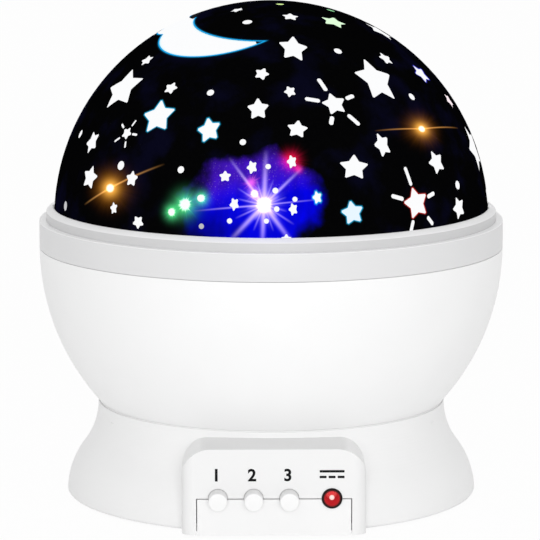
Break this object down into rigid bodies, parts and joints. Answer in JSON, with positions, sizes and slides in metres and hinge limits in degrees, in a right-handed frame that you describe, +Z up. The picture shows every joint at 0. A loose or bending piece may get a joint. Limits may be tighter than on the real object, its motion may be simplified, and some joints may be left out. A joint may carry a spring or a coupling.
{
  "type": "star night light projector",
  "caption": "Round night light with a flared base, a motor-turned bowl and a lift-off dome masked by star, dot and crescent moon windows.",
  "frame": {"origin": "on the floor under the middle of the bowl, on the axis that the bowl turns about", "axes": "+Z up along the bowl's axis, -Y out of the control panel's face, +X to the right as one faces the panel"},
  "size_m": [0.125, 0.125, 0.1334],
  "materials": {
    "white_shell": "satin moulded plastic",
    "white_inner": "matt white plastic",
    "collar_grey": "satin light grey plastic",
    "ring_grey": "satin pale grey plastic",
    "grey_rubber": "matt rubber",
    "steel": "plain steel",
    "green_board": "printed circuit board",
    "black_plastic": "matt black plastic",
    "red_light": "clear red plastic",
    "green_light": "clear green plastic",
    "blue_light": "clear blue plastic",
    "warm_light": "clear warm white plastic",
    "cell_wrap": "plain foil wrap",
    "gear_plastic": "natural acetal",
    "frosted_dome": "frosted translucent plastic",
    "black_mask": "smooth black film"
  },
  "bodies": {
    "base": {"base_shell": "white_shell", "bottom_cover": "white_shell", "panel_insert": "white_shell", "feet": "grey_rubber", "base_screws": "steel", "control_board": "green_board", "tact_switches": "black_plastic", "controller_chip": "black_plastic", "dc_socket": "black_plastic", "socket_pin": "steel", "socket_light": "red_light", "battery_cells": "cell_wrap", "cell_springs": "steel", "cell_plates": "steel", "gear_motor": "steel", "motor_screws": "steel", "lamp_column": "white_inner", "led_holder": "white_inner", "led_board": "white_inner", "lamp_led": "warm_light", "red_led": "red_light", "green_led": "green_light", "blue_led": "blue_light", "thrust_washer": "gear_plastic"},
    "motor_pinion": {"motor_shaft": "steel", "drive_pinion": "gear_plastic"},
    "turntable": {"bowl": "white_shell", "turntable_hub": "collar_grey", "column_bush": "gear_plastic", "hub_screws": "steel", "ring_gear": "gear_plastic", "gear_clip": "steel", "reflector_deck": "white_inner", "deck_screws": "steel"},
    "cover": {"collar": "collar_grey", "dome_ring": "ring_grey", "diffuser_dome": "frosted_dome", "star_mask": "black_mask"},
    "button_one": {"button_1": "white_shell", "plunger_1": "black_plastic"},
    "button_two": {"button_2": "white_shell", "plunger_2": "black_plastic"},
    "button_three": {"button_3": "white_shell", "plunger_3": "black_plastic"},
    "battery_lid": {"battery_door": "white_shell"}
  },
  "joints": [
    {"name": "bowl_turn", "type": "hinge", "parent": "base", "child": "turntable", "pos_m": [0, 0, 0.0257], "axis": [0, 0, 1], "continuous": true},
    {"name": "pinion_turn", "type": "hinge", "parent": "base", "child": "motor_pinion", "pos_m": [0, -0.026, 0.02], "axis": [0, 0, 1], "continuous": true},
    {"name": "cover_lift", "type": "slide", "parent": "turntable", "child": "cover", "axis": [0, 0, 1], "range_m": [0, 0.07]},
    {"name": "button_one_press", "type": "slide", "parent": "base", "child": "button_one", "axis": [0, 1, 0], "range_m": [0, 0.0008], "stiffness_N_per_m": 400, "springref_m": -0.001},
    {"name": "button_two_press", "type": "slide", "parent": "base", "child": "button_two", "axis": [0, 1, 0], "range_m": [0, 0.0008], "stiffness_N_per_m": 400, "springref_m": -0.001},
    {"name": "button_three_press", "type": "slide", "parent": "base", "child": "button_three", "axis": [0, 1, 0], "range_m": [0, 0.0008], "stiffness_N_per_m": 400, "springref_m": -0.001},
    {"name": "battery_door_hinge", "type": "hinge", "parent": "base", "child": "battery_lid", "pos_m": [0, 0.03785, 0.0025], "axis": [1, 0, 0], "range_deg": [0, 80]}
  ],
  "couplings": [
    {"joint": "pinion_turn", "follows": "bowl_turn", "ratio": -3.3333}
  ]
}
